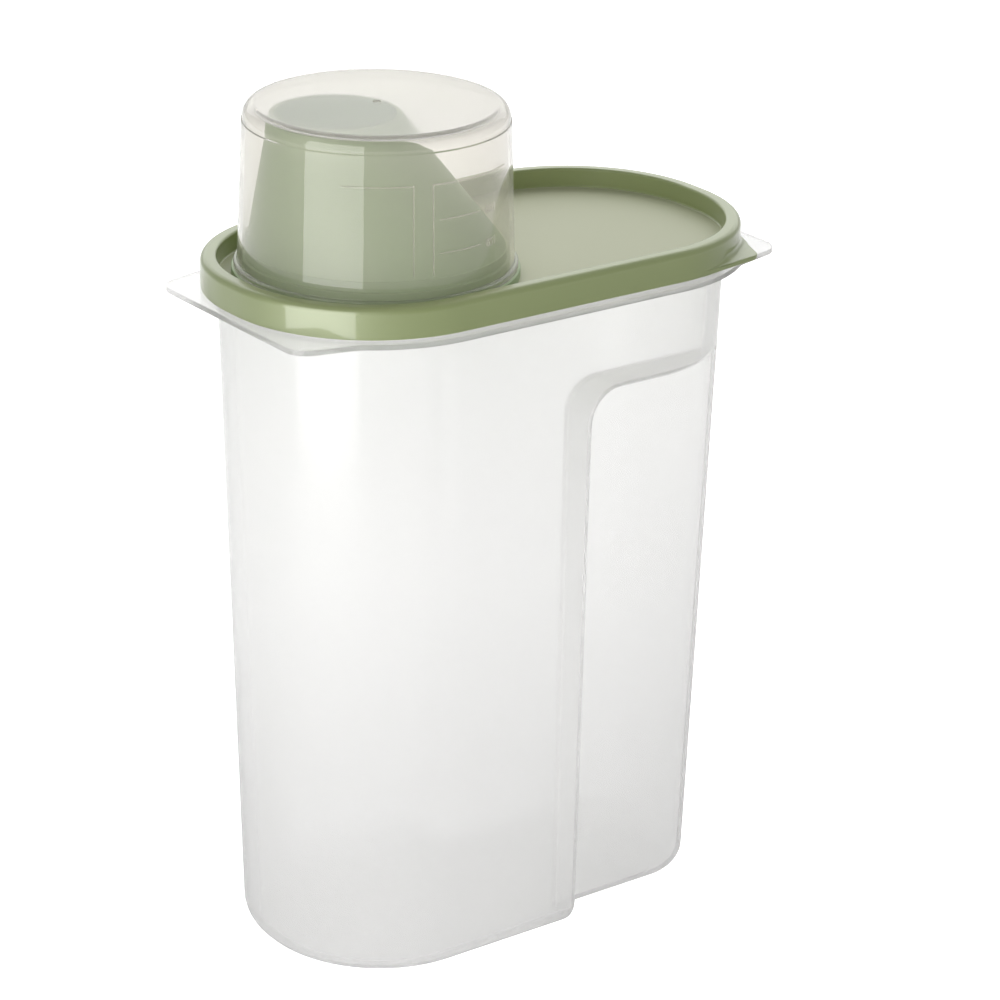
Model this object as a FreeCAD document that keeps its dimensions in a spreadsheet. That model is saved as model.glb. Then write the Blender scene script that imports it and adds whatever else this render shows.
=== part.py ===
import FreeCAD, Part
import math
import os
import Sketcher

# Rice storage container: a tapered bin with round ends and a grip recess, a lid with a slanted
# pouring spout, and a clear measuring cup that stands upside down over the spout.
# X runs along the long side towards the grip, Z is up, the origin is the middle of the base.

SIZES = {
    # outline of the lid seen from above, round ends with a short flat in the middle of each
    "lid_length": 171.4,
    "lid_width": 98.0,
    "lid_end_flat": 5.8,
    # container: the shoulder follows the lid, the base is narrower
    "shoulder_inset": 4.9,
    "shoulder_height": 205.1,
    "base_length": 149.0,
    "base_width": 83.5,
    "base_end_flat": 1.5,
    "base_edge_radius": 9.0,
    "wall": 1.6,
    "floor": 2.0,
    # grip recess on both wide sides, open at the grip end and at the base
    "grip_start": 12.6,
    "grip_depth": 12.75,
    "grip_top_margin": 28.9,
    "grip_corner_radius": 10.0,
    "grip_inner_radius": 3.0,
    "grip_edge_radius": 2.5,
    # flange with squared lifting tabs at both ends
    "flange_thickness": 1.6,
    "flange_overhang": 1.5,
    "tab_inset": 13.0,
    "tab_slant_run": 36.0,
    "tab_slant_rise": 8.9,
    "tab_corner_radius": 7.0,
    "tab_blend_radius": 6.0,
    # upright rim that the lid snaps over, with room above it in the lid's channel
    "rim_wall": 1.4,
    "rim_clearance": 0.3,
    "rim_top_gap": 1.8,
    "skirt_gap": 0.7,
    # lid section
    "skirt_height": 9.25,
    "skirt_wall": 1.5,
    "plug_wall": 1.3,
    "lid_plate": 1.6,
    "panel_depth": 6.0,
    "lid_edge_radius": 2.0,
    "panel_edge_chamfer": 0.8,
    # lifting lobe of the lid, at the corner beside the grip
    "lobe_angle": 51.5,
    "lobe_half_angle": 28.0,
    "lobe_reach": 6.9,
    "lobe_tip_radius": 5.0,
    "lobe_thickness": 1.5,
    # spout: seat for the cup, two-step collar, then a slanted cone
    "spout_offset": 35.65,
    "seat_height": 2.9,
    "seat_margin": 0.6,
    "collar_height": 3.75,
    "collar_step_height": 3.0,
    "collar_step": 0.8,
    "cone_step": 0.3,
    "cone_height": 39.7,
    "cone_lean": 13.35,
    "mouth_radius": 20.6,
    "spout_wall": 1.6,
    # measuring cup
    "cup_height": 48.6,
    "cup_mouth_radius": 40.4,
    "cup_base_radius": 38.7,
    "cup_wall": 1.2,
    "cup_base_thickness": 1.5,
    "cup_corner_radius": 4.0,
    "cup_bead_width": 1.0,
    "cup_bead_height": 2.0,
    "cup_bead_bevel": 0.7,
    "cup_clearance": 0.3,
    # how far a cut runs past the face it opens
    "overrun": 5.0,
}

doc = FreeCAD.newDocument("rice_container")
sheet = doc.addObject("Spreadsheet::Sheet", "sizes")
for row, (name, size) in enumerate(SIZES.items(), start=1):
    sheet.set(f"A{row}", name)
    sheet.set(f"B{row}", str(size))
    sheet.setAlias(f"B{row}", name)
doc.recompute()

# Sizes that several pieces share
LID_CORNER = "((sizes.lid_width - sizes.lid_end_flat) / 2)"
BAND = "(sizes.skirt_wall + 2 * sizes.rim_clearance + sizes.rim_wall + sizes.plug_wall)"
RIM_INSET = "(sizes.skirt_wall + sizes.rim_clearance)"
RIM_HEIGHT = "(sizes.skirt_gap + sizes.skirt_height - sizes.lid_plate - sizes.rim_top_gap)"
FLANGE_TOP = "(sizes.shoulder_height + sizes.flange_thickness)"
LID_LEVEL = f"({FLANGE_TOP} + sizes.skirt_gap)"
PANEL_LEVEL = "(sizes.skirt_height - sizes.panel_depth)"
SEAT_LEVEL = f"({PANEL_LEVEL} + sizes.seat_height)"
CUP_TAPER = "((sizes.cup_mouth_radius - sizes.cup_base_radius) / sizes.cup_height)"
CUP_BORE_AT_COLLAR = f"(sizes.cup_mouth_radius - sizes.cup_wall - {CUP_TAPER} * sizes.collar_height)"
COLLAR_RADIUS = f"({CUP_BORE_AT_COLLAR} - sizes.cup_clearance)"
COLLAR_TOP = f"({SEAT_LEVEL} + sizes.collar_height)"
STEP_TOP = f"({COLLAR_TOP} + sizes.collar_step_height)"
CONE_RADIUS = f"({COLLAR_RADIUS} - sizes.collar_step - sizes.cone_step)"
CONE_TOP = f"({STEP_TOP} + sizes.cone_height)"

# Distance within which a point counts as lying on a face
TOUCH = SIZES["wall"] / 10


def value(expression):
    """Works out an expression of the sheet's sizes."""
    return float(sheet.evalExpression(expression))


def origin_plane(body, role):
    """One of the body's own origin planes."""
    return next(plane for plane in body.Origin.OriginFeatures if plane.Role == role)


def new_sketch(body, name, role="XY_Plane", level=None, shift=None):
    """A sketch on an origin plane, raised by level along its normal and moved by shift along X."""
    sketch = body.newObject("Sketcher::SketchObject", name)
    sketch.AttachmentSupport = (origin_plane(body, role), [""])
    sketch.MapMode = "FlatFace"
    if level:
        sketch.setExpression(".AttachmentOffset.Base.z", level)
    if shift:
        sketch.setExpression(".AttachmentOffset.Base.x", shift)
    return sketch


def bind(sketch, kind, *arguments):
    """Adds a dimension whose last argument is an expression of the sheet's sizes."""
    index = sketch.addConstraint(Sketcher.Constraint(kind, *arguments[:-1], value(arguments[-1])))
    sketch.setExpression(f"Constraints[{index}]", arguments[-1])


def quarter(centre_x, centre_y, radius, start):
    """A quarter arc that starts at an angle given in quarter turns."""
    circle = Part.Circle(FreeCAD.Vector(centre_x, centre_y, 0), FreeCAD.Vector(0, 0, 1), radius)
    return Part.ArcOfCircle(circle, start * math.pi / 2, (start + 1) * math.pi / 2)


def segment(x_from, y_from, x_to, y_to):
    """A straight line of a sketch."""
    return Part.LineSegment(FreeCAD.Vector(x_from, y_from, 0), FreeCAD.Vector(x_to, y_to, 0))


def round_ended(sketch, length, width, end_flat):
    """A centred rectangle whose corners are as round as its short flats allow."""
    first = sketch.GeometryCount
    half_x, half_y, flat = value(length) / 2, value(width) / 2, value(end_flat) / 2
    radius = half_y - flat
    side = half_x - radius
    sketch.addGeometry([
        segment(-side, -half_y, side, -half_y),
        quarter(side, -flat, radius, 3),
        segment(half_x, -flat, half_x, flat),
        quarter(side, flat, radius, 0),
        segment(side, half_y, -side, half_y),
        quarter(-side, flat, radius, 1),
        segment(-half_x, flat, -half_x, -flat),
        quarter(-side, -flat, radius, 2),
    ])
    lines = [first, first + 2, first + 4, first + 6]
    arcs = [first + 1, first + 3, first + 5, first + 7]
    loop = sorted(lines + arcs)
    for edge, following in zip(loop, loop[1:] + loop[:1]):
        sketch.addConstraint(Sketcher.Constraint("Tangent", edge, 2, following, 1))
    for line in lines[::2]:
        sketch.addConstraint(Sketcher.Constraint("Horizontal", line))
    for line in lines[1::2]:
        sketch.addConstraint(Sketcher.Constraint("Vertical", line))
    for arc in arcs[1:]:
        sketch.addConstraint(Sketcher.Constraint("Equal", arcs[0], arc))
    sketch.addConstraint(Sketcher.Constraint("Symmetric", lines[0], 1, lines[2], 1, -1, 1))
    bind(sketch, "DistanceX", lines[3], 1, lines[1], 1, length)
    bind(sketch, "DistanceY", lines[0], 1, lines[2], 1, width)
    bind(sketch, "DistanceY", lines[1], 1, lines[1], 2, end_flat)


def lid_outline(sketch, inset):
    """The lid's outline, drawn in by inset all round."""
    length = f"sizes.lid_length - 2 * {inset}"
    width = f"sizes.lid_width - 2 * {inset}"
    round_ended(sketch, length, width, "sizes.lid_end_flat")


def polygon(sketch, corners, closed=True):
    """Straight lines through corners whose places are expressions of the sheet's sizes."""
    first = sketch.GeometryCount
    points = [(value(x), value(y)) for x, y in corners]
    following = points[1:] + points[:1] if closed else points[1:]
    sketch.addGeometry([segment(*start, *end) for start, end in zip(points, following)])
    count = len(following)
    for line in range(count - 1):
        sketch.addConstraint(Sketcher.Constraint("Coincident", first + line, 2, first + line + 1, 1))
    if closed:
        sketch.addConstraint(Sketcher.Constraint("Coincident", first + count - 1, 2, first, 1))
    for number, (x, y) in enumerate(corners):
        line, end = (first + number, 1) if number < count else (first + number - 1, 2)
        bind(sketch, "DistanceX", -1, 1, line, end, x)
        bind(sketch, "DistanceY", -1, 1, line, end, y)


def disc(sketch, radius):
    """A circle about the sketch's origin."""
    axis = FreeCAD.Vector(0, 0, 1)
    index = sketch.addGeometry(Part.Circle(FreeCAD.Vector(), axis, value(radius)))
    sketch.addConstraint(Sketcher.Constraint("Coincident", index, 3, -1, 1))
    bind(sketch, "Radius", index, radius)


def pad(body, name, sketch, length):
    """Material from the sketch up along its normal."""
    feature = body.newObject("PartDesign::Pad", name)
    feature.Profile = sketch
    feature.setExpression("Length", length)
    doc.recompute()
    return feature


def pocket(body, name, sketch, length, along_normal):
    """A cut from the sketch, along its normal or against it. It has to take material away."""
    before = body.Shape.Volume
    feature = body.newObject("PartDesign::Pocket", name)
    feature.Profile = sketch
    feature.setExpression("Length", length)
    feature.Reversed = along_normal
    doc.recompute()
    if feature.Shape.Volume >= before:
        raise ValueError(f"{name} cuts nothing")
    return feature


def loft(body, kind, name, upper, lower):
    """A ruled form between two sketches, drawn from the upper one down."""
    feature = body.newObject(kind, name)
    feature.Profile = upper
    feature.Sections = [lower]
    feature.Ruled = True
    doc.recompute()
    return feature


def mirrored(body, name, original, role):
    """A second copy of a feature on the other side of an origin plane."""
    feature = body.newObject("PartDesign::Mirrored", name)
    feature.Originals = [original]
    feature.MirrorPlane = (origin_plane(body, role), [""])
    body.Tip = feature
    doc.recompute()
    return feature


def fillet(body, name, base, edges, radius):
    """Rounds the given edges of the body's last feature."""
    feature = body.newObject("PartDesign::Fillet", name)
    feature.Base = (base, edges)
    feature.setExpression("Radius", radius)
    doc.recompute()
    return feature


def middle(edge):
    """The point half way along an edge."""
    return edge.valueAt((edge.FirstParameter + edge.LastParameter) / 2)


def edge_names(shape, chosen):
    """Names of the edges that pass a test."""
    return [f"Edge{number}" for number, edge in enumerate(shape.Edges, start=1) if chosen(edge)]


def lies_at(edge, level):
    """Whether the whole edge lies at one height."""
    box = edge.BoundBox
    return abs(box.ZMin - level) < TOUCH and abs(box.ZMax - level) < TOUCH


def face_normals(shape, edge):
    """Outward normals, at an edge's middle, of the two faces that share it."""
    point = middle(edge)
    normals = []
    for face in shape.ancestorsOfType(edge, Part.Face):
        normals.append(face.normalAt(*face.Surface.parameter(point)))
    return normals


def is_sharp(shape, edge):
    """Whether two faces meet at a corner, not smoothly."""
    normals = face_normals(shape, edge)
    sharp_share = 0.97
    return len(normals) == 2 and normals[0].dot(normals[1]) < sharp_share


def is_hollow(shape, edge):
    """Whether the material round a sharp edge fills more than half a turn."""
    first, second = face_normals(shape, edge)
    probe = middle(edge) + (first - second) * TOUCH
    return shape.isInside(probe, 0, False)


def tapered_form(body, inset, floor, top):
    """The bin's outer form, or, drawn in by the wall, the form of the space inside it.

    The edges of the grip recesses are left sharp, as they are on the inside.
    """
    upper = new_sketch(body, "shoulder_outline", level=top)
    lid_outline(upper, f"(sizes.shoulder_inset + {inset})")
    lower = new_sketch(body, "base_outline", level=floor)
    length = f"sizes.base_length - 2 * {inset}"
    width = f"sizes.base_width - 2 * {inset}"
    round_ended(lower, length, width, "sizes.base_end_flat")
    walls = loft(body, "PartDesign::AdditiveLoft", "side_walls", upper, lower)

    base_level = value(floor)
    base_edges = edge_names(walls.Shape, lambda edge: lies_at(edge, base_level))
    fillet(body, "base_edge", walls, base_edges, f"sizes.base_edge_radius - {inset}")

    panel = f"sizes.base_width / 2 - sizes.grip_depth - {inset}"
    side = new_sketch(body, "grip_outline", "XZ_Plane", panel)
    grip_outline(side, inset)
    near_grip = pocket(body, "near_grip", side, "sizes.lid_width", along_normal=True)
    both_grips = mirrored(body, "both_grips", near_grip, "XZ_Plane")

    shape = both_grips.Shape
    hollow = edge_names(shape, lambda edge: is_sharp(shape, edge) and is_hollow(shape, edge))
    return fillet(body, "grip_inner_edges", both_grips, hollow, f"sizes.grip_inner_radius + {inset}")


def grip_outline(sketch, inset):
    """Side view of the grip recess, running out past the end and the base."""
    left = f"sizes.grip_start - {inset}"
    top = f"sizes.shoulder_height - sizes.grip_top_margin + {inset}"
    corner = f"sizes.grip_corner_radius + {inset}"
    x_left, z_top, radius = value(left), value(top), value(corner)
    x_right, z_bottom = value("sizes.lid_length"), -value("sizes.overrun")
    sketch.addGeometry([
        segment(x_left, z_bottom, x_left, z_top - radius),
        quarter(x_left + radius, z_top - radius, radius, 1),
        segment(x_left + radius, z_top, x_right, z_top),
        segment(x_right, z_top, x_right, z_bottom),
        segment(x_right, z_bottom, x_left, z_bottom),
    ])
    for line in (0, 3):
        sketch.addConstraint(Sketcher.Constraint("Vertical", line))
    for line in (2, 4):
        sketch.addConstraint(Sketcher.Constraint("Horizontal", line))
    sketch.addConstraint(Sketcher.Constraint("Tangent", 0, 2, 1, 2))
    sketch.addConstraint(Sketcher.Constraint("Tangent", 1, 1, 2, 1))
    for edge, following in ((2, 3), (3, 4), (4, 0)):
        sketch.addConstraint(Sketcher.Constraint("Coincident", edge, 2, following, 1))
    bind(sketch, "Radius", 1, corner)
    bind(sketch, "DistanceX", -1, 1, 0, 1, left)
    bind(sketch, "DistanceX", -1, 1, 3, 1, "sizes.lid_length")
    bind(sketch, "DistanceY", -1, 1, 2, 1, top)
    bind(sketch, "DistanceY", 4, 2, -1, 1, "sizes.overrun")


def container_body():
    """The translucent bin: tapered walls, grip recesses, flange with tabs, and the upright rim."""
    outside = doc.addObject("PartDesign::Body", "container_outside")
    form = tapered_form(outside, "0", "0", "sizes.shoulder_height")
    top = value("sizes.shoulder_height")
    shape = form.Shape
    border = edge_names(shape, lambda edge: not lies_at(edge, top) and is_sharp(shape, edge))
    fillet(outside, "grip_border", form, border, "sizes.grip_edge_radius")
    flange(outside)
    rim = new_sketch(outside, "rim_outline", level=FLANGE_TOP)
    lid_outline(rim, RIM_INSET)
    pad(outside, "rim", rim, RIM_HEIGHT)

    inside = doc.addObject("PartDesign::Body", "container_inside")
    tapered_form(inside, "sizes.wall", "sizes.floor", FLANGE_TOP)
    mouth = new_sketch(inside, "mouth_outline", level=FLANGE_TOP)
    lid_outline(mouth, f"({RIM_INSET} + sizes.rim_wall)")
    pad(inside, "mouth", mouth, f"{RIM_HEIGHT} + sizes.overrun")

    container = doc.addObject("Part::Cut", "container_body")
    container.Base = outside
    container.Tool = inside
    return container


def flange(body):
    """Flat flange under the lid's skirt, squared off at both ends into lifting tabs."""
    ring = new_sketch(body, "flange_outline", level="sizes.shoulder_height")
    lid_outline(ring, "(-sizes.flange_overhang)")
    pad(body, "flange", ring, "sizes.flange_thickness")

    tabs = new_sketch(body, "tab_outline", level="sizes.shoulder_height")
    end = "(sizes.lid_length / 2 + sizes.flange_overhang)"
    side = "(sizes.lid_width / 2 - sizes.tab_inset)"
    root = f"({end} - sizes.tab_slant_run)"
    root_side = f"({side} + sizes.tab_slant_rise)"
    right = [(root, f"-{root_side}"), (end, f"-{side}"), (end, side), (root, root_side)]
    left = [(f"-{x}", y) for x, y in reversed(right)]
    polygon(tabs, right + left)
    squared = pad(body, "tabs", tabs, "sizes.flange_thickness")

    bottom, top = value("sizes.shoulder_height"), value(FLANGE_TOP)
    shape = squared.Shape

    def is_upright(edge):
        box = edge.BoundBox
        spans_flange = abs(box.ZMin - bottom) < TOUCH and abs(box.ZMax - top) < TOUCH
        return spans_flange and is_sharp(shape, edge)

    corners = edge_names(shape, lambda edge: is_upright(edge) and not is_hollow(shape, edge))
    rounded = fillet(body, "tab_corners", squared, corners, "sizes.tab_corner_radius")
    shape = rounded.Shape
    blends = edge_names(shape, lambda edge: is_upright(edge) and is_hollow(shape, edge))
    return fillet(body, "tab_blends", rounded, blends, "sizes.tab_blend_radius")


def lid():
    """The lid: rounded rim with a skirt, sunk panel, snap channel, lifting lobe and the spout.

    Inside the channel a plug wall reaches down to the ledge at the container's mouth.
    """
    body = doc.addObject("PartDesign::Body", "lid")
    outline = new_sketch(body, "outline")
    lid_outline(outline, "0")
    block = pad(body, "rim_and_skirt", outline, "sizes.skirt_height")
    top = value("sizes.skirt_height")
    top_edges = edge_names(block.Shape, lambda edge: lies_at(edge, top))
    fillet(body, "rim_edge", block, top_edges, "sizes.lid_edge_radius")

    panel = new_sketch(body, "panel_outline", level="sizes.skirt_height")
    lid_outline(panel, BAND)
    sunk = pocket(body, "panel", panel, "sizes.panel_depth", along_normal=False)
    shape = sunk.Shape
    inner_edges = edge_names(shape, lambda edge: lies_at(edge, top) and is_sharp(shape, edge))
    border = body.newObject("PartDesign::Chamfer", "panel_border")
    border.Base = (sunk, inner_edges)
    border.setExpression("Size", "sizes.panel_edge_chamfer")
    doc.recompute()

    channel = new_sketch(body, "channel_outline")
    lid_outline(channel, "sizes.skirt_wall")
    lid_outline(channel, f"({BAND} - sizes.plug_wall)")
    pocket(body, "channel", channel, "sizes.skirt_height - sizes.lid_plate", along_normal=True)
    underside = new_sketch(body, "underside_outline")
    lid_outline(underside, "sizes.skirt_wall")
    pocket(body, "underside", underside, f"{PANEL_LEVEL} - sizes.lid_plate", along_normal=True)
    plug = new_sketch(body, "plug_outline", level="-sizes.skirt_gap")
    lid_outline(plug, f"({BAND} - sizes.plug_wall)")
    lid_outline(plug, BAND)
    pad(body, "plug", plug, f"sizes.skirt_gap + {PANEL_LEVEL} - sizes.lid_plate")

    lobe(body)
    spout(body)
    body.setExpression(".Placement.Base.z", LID_LEVEL)
    return body


def lobe(body):
    """Thin pointed lobe of the skirt that a thumb pushes up to open the lid."""
    sketch = new_sketch(body, "lobe_outline")
    sketch.setExpression(".AttachmentOffset.Base.x", f"sizes.lid_length / 2 - {LID_CORNER}")
    sketch.setExpression(".AttachmentOffset.Base.y", "-sizes.lid_end_flat / 2")
    sketch.setExpression(".AttachmentOffset.Rotation.Angle", "-sizes.lobe_angle * 1 deg")
    across, aside = "cos(sizes.lobe_half_angle * 1 deg)", "sin(sizes.lobe_half_angle * 1 deg)"
    polygon(sketch, [
        (f"{LID_CORNER} * {across}", f"-{LID_CORNER} * {aside}"),
        (f"{LID_CORNER} + sizes.lobe_reach", "0"),
        (f"{LID_CORNER} * {across}", f"{LID_CORNER} * {aside}"),
    ], closed=False)
    root = f"({LID_CORNER} - sizes.skirt_wall / 2)"
    x_root, y_root = value(f"{root} * {across}"), value(f"{root} * {aside}")
    x_side, y_side = value(f"{LID_CORNER} * {across}"), value(f"{LID_CORNER} * {aside}")
    half_angle = math.radians(value("sizes.lobe_half_angle"))
    circle = Part.Circle(FreeCAD.Vector(), FreeCAD.Vector(0, 0, 1), value(root))
    upper_end, arc, lower_end = sketch.addGeometry([
        segment(x_side, y_side, x_root, y_root),
        Part.ArcOfCircle(circle, -half_angle, half_angle),
        segment(x_root, -y_root, x_side, -y_side),
    ])
    joined = [(1, 2, upper_end, 1), (upper_end, 2, arc, 2), (arc, 1, lower_end, 1), (lower_end, 2, 0, 1)]
    for ends in joined + [(arc, 3, -1, 1)]:
        sketch.addConstraint(Sketcher.Constraint("Coincident", *ends))
    bind(sketch, "Radius", arc, root)
    bind(sketch, "DistanceY", -1, 1, arc, 2, f"{root} * {aside}")
    bind(sketch, "DistanceY", -1, 1, arc, 1, f"-{root} * {aside}")
    raised = pad(body, "lobe", sketch, "sizes.lobe_thickness")
    reach = value(f"{LID_CORNER} + sizes.lobe_reach")
    corner = sketch.Placement.multVec(FreeCAD.Vector(reach, 0, 0))
    thickness = value("sizes.lobe_thickness")

    def is_tip(edge):
        return middle(edge).distanceToPoint(corner) < thickness

    tip = edge_names(raised.Shape, lambda edge: is_tip(edge) and edge.BoundBox.ZLength > TOUCH)
    return fillet(body, "lobe_tip", raised, tip, "sizes.lobe_tip_radius")


def spout(body):
    """Seat for the cup, a collar in two steps, and a cone that leans away from the grip."""
    axis = "-sizes.spout_offset"
    seat_radius = "(sizes.cup_mouth_radius + sizes.cup_bead_width + sizes.seat_margin)"
    rings = [
        ("seat", PANEL_LEVEL, seat_radius, "sizes.seat_height"),
        ("collar", SEAT_LEVEL, COLLAR_RADIUS, "sizes.collar_height"),
        ("collar_step", COLLAR_TOP, f"{COLLAR_RADIUS} - sizes.collar_step", "sizes.collar_step_height"),
    ]
    for name, level, radius, height in rings:
        ring = new_sketch(body, f"{name}_outline", level=level, shift=axis)
        disc(ring, radius)
        pad(body, name, ring, height)
    tip_axis = f"{axis} - sizes.cone_lean"
    mouth = new_sketch(body, "mouth_outline", level=CONE_TOP, shift=tip_axis)
    disc(mouth, "sizes.mouth_radius")
    foot = new_sketch(body, "cone_foot_outline", level=STEP_TOP, shift=axis)
    disc(foot, CONE_RADIUS)
    loft(body, "PartDesign::AdditiveLoft", "cone", mouth, foot)

    hollow = new_sketch(body, "seat_hollow_outline", shift=axis)
    disc(hollow, f"{seat_radius} - sizes.lid_plate")
    pocket(body, "seat_hollow", hollow, f"{SEAT_LEVEL} - sizes.lid_plate", along_normal=True)
    throat = new_sketch(body, "throat_outline", shift=axis)
    disc(throat, f"{CONE_RADIUS} - sizes.spout_wall")
    pocket(body, "throat", throat, STEP_TOP, along_normal=True)
    bore_mouth = new_sketch(body, "bore_mouth_outline", level=CONE_TOP, shift=tip_axis)
    disc(bore_mouth, "sizes.mouth_radius - sizes.spout_wall")
    bore_foot = new_sketch(body, "bore_foot_outline", level=STEP_TOP, shift=axis)
    disc(bore_foot, f"{CONE_RADIUS} - sizes.spout_wall")
    before = body.Shape.Volume
    bore = loft(body, "PartDesign::SubtractiveLoft", "bore", bore_mouth, bore_foot)
    if bore.Shape.Volume >= before:
        raise ValueError("the bore cuts nothing")
    return bore


def measuring_cup():
    """Clear cup, turned from one profile and modelled upside down as it stands on the seat."""
    body = doc.addObject("PartDesign::Body", "measuring_cup")
    profile = new_sketch(body, "profile", "XZ_Plane")
    bead = "(sizes.cup_mouth_radius + sizes.cup_bead_width)"
    ceiling = "(sizes.cup_height - sizes.cup_base_thickness)"
    polygon(profile, [
        ("sizes.cup_mouth_radius - sizes.cup_wall", "0"),
        (bead, "0"),
        (bead, "sizes.cup_bead_height - sizes.cup_bead_bevel"),
        (f"{bead} - sizes.cup_bead_bevel", "sizes.cup_bead_height"),
        (f"sizes.cup_mouth_radius - {CUP_TAPER} * sizes.cup_bead_height", "sizes.cup_bead_height"),
        ("sizes.cup_base_radius", "sizes.cup_height"),
        ("0", "sizes.cup_height"),
        ("0", ceiling),
        ("sizes.cup_base_radius - sizes.cup_wall", ceiling),
    ])
    turned = body.newObject("PartDesign::Revolution", "turned")
    turned.Profile = profile
    turned.ReferenceAxis = (profile, ["V_Axis"])
    doc.recompute()

    inner_level, outer_level = value(ceiling), value("sizes.cup_height")
    outer = edge_names(turned.Shape, lambda edge: lies_at(edge, outer_level))
    rounded = fillet(body, "base_corner", turned, outer, "sizes.cup_corner_radius")
    inner = edge_names(rounded.Shape, lambda edge: lies_at(edge, inner_level))
    inside = "sizes.cup_corner_radius - sizes.cup_wall"
    fillet(body, "inner_corner", rounded, inner, inside)
    body.setExpression(".Placement.Base.x", "-sizes.spout_offset")
    body.setExpression(".Placement.Base.z", f"{LID_LEVEL} + {SEAT_LEVEL}")
    return body


pieces = [container_body(), lid(), measuring_cup()]
doc.recompute()

for item in doc.Objects:
    if "Invalid" in item.State or "Error" in item.State:
        raise ValueError(f"{item.Name} did not compute")
for piece in pieces:
    if piece.Shape.isNull() or not piece.Shape.isValid() or len(piece.Shape.Solids) != 1:
        raise ValueError(f"{piece.Label} is not one valid solid")

os.makedirs("parts", exist_ok=True)
for piece in pieces:
    piece.Shape.exportStep(f"parts/{piece.Label}.step")
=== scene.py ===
import math

import bmesh
import bpy
from mathutils import Matrix, Vector


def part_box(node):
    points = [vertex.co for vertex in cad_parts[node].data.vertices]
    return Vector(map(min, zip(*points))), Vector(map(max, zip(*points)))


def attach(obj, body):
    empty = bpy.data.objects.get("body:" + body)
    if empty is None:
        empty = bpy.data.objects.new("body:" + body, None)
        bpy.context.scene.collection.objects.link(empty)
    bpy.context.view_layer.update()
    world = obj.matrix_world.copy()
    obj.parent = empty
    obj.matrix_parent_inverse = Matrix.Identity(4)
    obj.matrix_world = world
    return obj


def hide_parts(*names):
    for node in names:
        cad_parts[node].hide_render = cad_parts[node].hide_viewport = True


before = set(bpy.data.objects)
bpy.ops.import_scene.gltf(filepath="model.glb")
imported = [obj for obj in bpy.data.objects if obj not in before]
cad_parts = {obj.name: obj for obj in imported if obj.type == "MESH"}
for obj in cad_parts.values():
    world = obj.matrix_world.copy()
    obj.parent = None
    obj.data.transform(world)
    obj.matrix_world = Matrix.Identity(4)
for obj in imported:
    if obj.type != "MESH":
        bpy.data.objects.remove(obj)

scene = bpy.context.scene
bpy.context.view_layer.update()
mm = 0.001

# Container
# The real piece is one injection moulding of milky polypropylene about 1.6 mm thick: the walls, the
# grip recesses, the flange with its lifting tabs and the rim that the lid snaps over. It keeps the
# shape of its solid and gets the soft, cloudy plastic here.
milk_colour = (0.975, 0.972, 0.965, 1.0)
milk_cloud_colour = (0.96, 0.96, 0.957, 1.0)
milk_through_colour = (0.975, 0.972, 0.967, 1.0)
milk_through_share = 0.6
milk_clear_share = 0.75
milk_clear_ior = 1.15
milk_clear_roughness = 0.2
milk_clear_colour = (0.97, 0.968, 0.965, 1.0)
milk_pass_share = 0.85
milk_coat = 0.4
milk_gloss_roughness = 0.18
milk_flow_size = 9.0
milk_cloud_size = 60.0
milk_grain_size = 400.0
milk_grain_height = 0.003 * mm
milk_ior = 1.49
milk_unevenness = 0.2


def new_material(name):
    """A material with nodes, its Principled shader and its output."""
    material = bpy.data.materials.new(name)
    material.use_nodes = True
    nodes = material.node_tree.nodes
    return material, nodes, material.node_tree.links, nodes["Principled BSDF"], nodes["Material Output"]


def fine_noise(nodes, links, size, detail):
    """A noise pattern fixed to the piece, with size features to the metre."""
    place = nodes.new("ShaderNodeTexCoord")
    noise = nodes.new("ShaderNodeTexNoise")
    noise.inputs["Scale"].default_value = size
    noise.inputs["Detail"].default_value = detail
    links.new(place.outputs["Object"], noise.inputs["Vector"])
    return noise


def grain(nodes, links, shader, size, height):
    """The faint unevenness that a mould leaves on a plastic surface."""
    noise = fine_noise(nodes, links, size, 2.0)
    bump = nodes.new("ShaderNodeBump")
    bump.inputs["Distance"].default_value = height
    links.new(noise.outputs["Fac"], bump.inputs["Height"])
    links.new(bump.outputs["Normal"], shader.inputs["Normal"])


def calculate(nodes, links, operation, first, second=0.0):
    """The result of a maths node. Each input is a socket or a number."""
    node = nodes.new("ShaderNodeMath")
    node.operation = operation
    for socket, value in zip(node.inputs, (first, second)):
        if isinstance(value, bpy.types.NodeSocket):
            links.new(value, socket)
        else:
            socket.default_value = value
    return node.outputs["Value"]


def object_axes(nodes, links):
    """The X, Y and Z outputs of the piece's own coordinates."""
    place = nodes.new("ShaderNodeTexCoord")
    axes = nodes.new("ShaderNodeSeparateXYZ")
    links.new(place.outputs["Object"], axes.inputs["Vector"])
    return axes.outputs


def between(nodes, links, factor, low, high):
    """Turns a 0 to 1 factor into values from low to high."""
    spread = nodes.new("ShaderNodeMapRange")
    spread.inputs["To Min"].default_value = low
    spread.inputs["To Max"].default_value = high
    links.new(factor, spread.inputs["Value"])
    return spread.outputs["Result"]


def pass_light(nodes, links, surface, share, output):
    """Lets a share of the lamps' light straight through the surface, so that what it covers stays lit."""
    see_through = nodes.new("ShaderNodeBsdfTransparent")
    path = nodes.new("ShaderNodeLightPath")
    lit = calculate(nodes, links, "MULTIPLY", path.outputs["Is Shadow Ray"], share)
    mix = nodes.new("ShaderNodeMixShader")
    links.new(lit, mix.inputs["Fac"])
    links.new(surface.outputs["Shader"], mix.inputs[1])
    links.new(see_through.outputs["BSDF"], mix.inputs[2])
    links.new(mix.outputs["Shader"], output.inputs["Surface"])


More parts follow.
